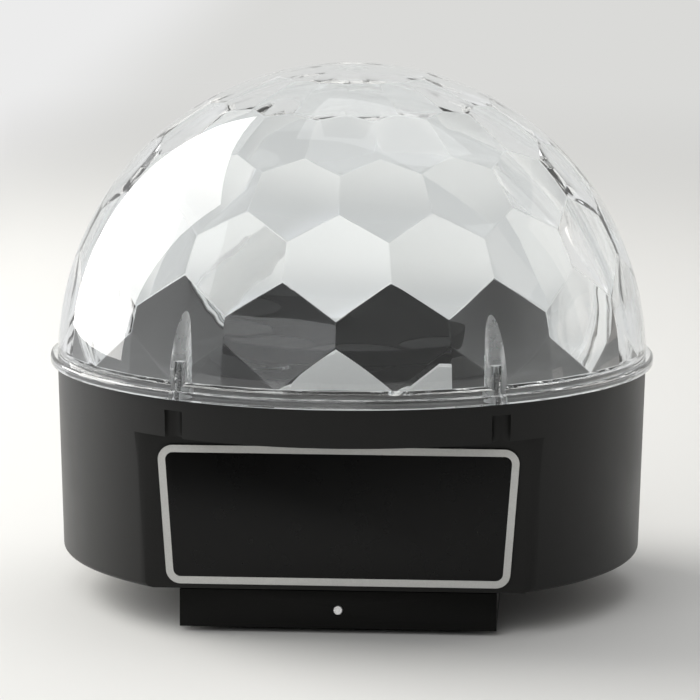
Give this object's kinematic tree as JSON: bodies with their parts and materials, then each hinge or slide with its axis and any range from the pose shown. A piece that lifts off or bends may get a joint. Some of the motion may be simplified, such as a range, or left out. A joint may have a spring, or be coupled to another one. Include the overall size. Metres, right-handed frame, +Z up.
{
  "type": "led disco light",
  "caption": "Stage effect light: a clear dome with moulded hexagon facets over LEDs and a turning lens wheel, on a black drum base with a label plate and rear controls.",
  "frame": {"origin": "on the floor under the middle of the drum, level with the undersides of the feet", "axes": "+Z up through the dome's top, the front with the label faces -Y, +X to the right as seen from the front"},
  "size_m": [0.2, 0.2, 0.1755],
  "materials": {
    "dome_clear": "clear moulded polystyrene, polished",
    "drum_black": "satin black moulded ABS",
    "deck_black": "matt black moulded ABS",
    "label_face": "printed polycarbonate sheet, semi-gloss black with a grey border",
    "capsule_silver": "satin",
    "screw_steel": "zinc plated",
    "motor_steel": "nickel plated",
    "sink_aluminium": "extruded, bare",
    "panel_plate": "black anodised sheet",
    "lens_clear": "clear moulded acrylic",
    "led_phosphor": "silicone dome over phosphor",
    "board_white": "white solder mask",
    "board_green": "green solder mask",
    "winding_tape": "polyester tape",
    "capacitor_sleeve": "shrunk sleeve",
    "control_black": "moulded nylon",
    "pin_brass": "polished",
    "foot_rubber": "matt"
  },
  "bodies": {
    "light": {"base_housing": "drum_black", "bottom_cover": "drum_black", "front_label": "label_face", "microphone": "capsule_silver", "foot_1": "foot_rubber", "foot_2": "foot_rubber", "foot_3": "foot_rubber", "foot_4": "foot_rubber", "cover_screw_1": "screw_steel", "cover_screw_2": "screw_steel", "cover_screw_3": "screw_steel", "cover_screw_4": "screw_steel", "dome": "dome_clear", "deck_plate": "deck_black", "dome_screw_1": "screw_steel", "dome_screw_2": "screw_steel", "dome_screw_3": "screw_steel", "dome_screw_4": "screw_steel", "led_board": "board_white", "heat_sink": "sink_aluminium", "led_1": "led_phosphor", "led_2": "led_phosphor", "led_3": "led_phosphor", "led_4": "led_phosphor", "led_5": "led_phosphor", "led_6": "led_phosphor", "led_lens_1": "lens_clear", "led_lens_2": "lens_clear", "led_lens_3": "lens_clear", "led_lens_4": "lens_clear", "led_lens_5": "lens_clear", "led_lens_6": "lens_clear", "sink_screw_1": "screw_steel", "sink_screw_2": "screw_steel", "motor": "motor_steel", "motor_screw_1": "screw_steel", "motor_screw_2": "screw_steel", "rear_panel": "panel_plate", "inlet_socket": "control_black", "power_switch_body": "control_black", "mode_switch_body": "motor_steel", "sensitivity_pot": "motor_steel", "inlet_pin_1": "pin_brass", "inlet_pin_2": "pin_brass", "inlet_pin_3": "pin_brass", "panel_screw_1": "screw_steel", "panel_screw_2": "screw_steel", "power_board": "board_green", "control_board": "board_green", "transformer": "winding_tape", "filter_capacitor": "capacitor_sleeve", "board_screw_1": "screw_steel", "board_screw_2": "screw_steel"},
    "rotor": {"rotor_shaft": "motor_steel", "lens_wheel": "lens_clear", "wheel_screw": "screw_steel"},
    "rocker": {"power_rocker": "control_black"},
    "mode_lever": {"mode_slider": "control_black"},
    "knob": {"sensitivity_knob": "control_black", "sensitivity_shaft": "motor_steel"}
  },
  "joints": [
    {"name": "rotor_spin", "type": "hinge", "parent": "light", "child": "rotor", "pos_m": [0, 0, 0.09], "axis": [0, 0, 1], "continuous": true},
    {"name": "rocker_tilt", "type": "hinge", "parent": "light", "child": "rocker", "pos_m": [0, 0.0759, 0.0383], "axis": [1, 0, 0], "range_deg": [0, 24]},
    {"name": "mode_slide", "type": "slide", "parent": "light", "child": "mode_lever", "axis": [1, 0, 0], "range_m": [0, 0.005]},
    {"name": "sensitivity_turn", "type": "hinge", "parent": "light", "child": "knob", "pos_m": [0.038, 0.08, 0.0383], "axis": [0, -1, 0], "range_deg": [0, 270]}
  ]
}
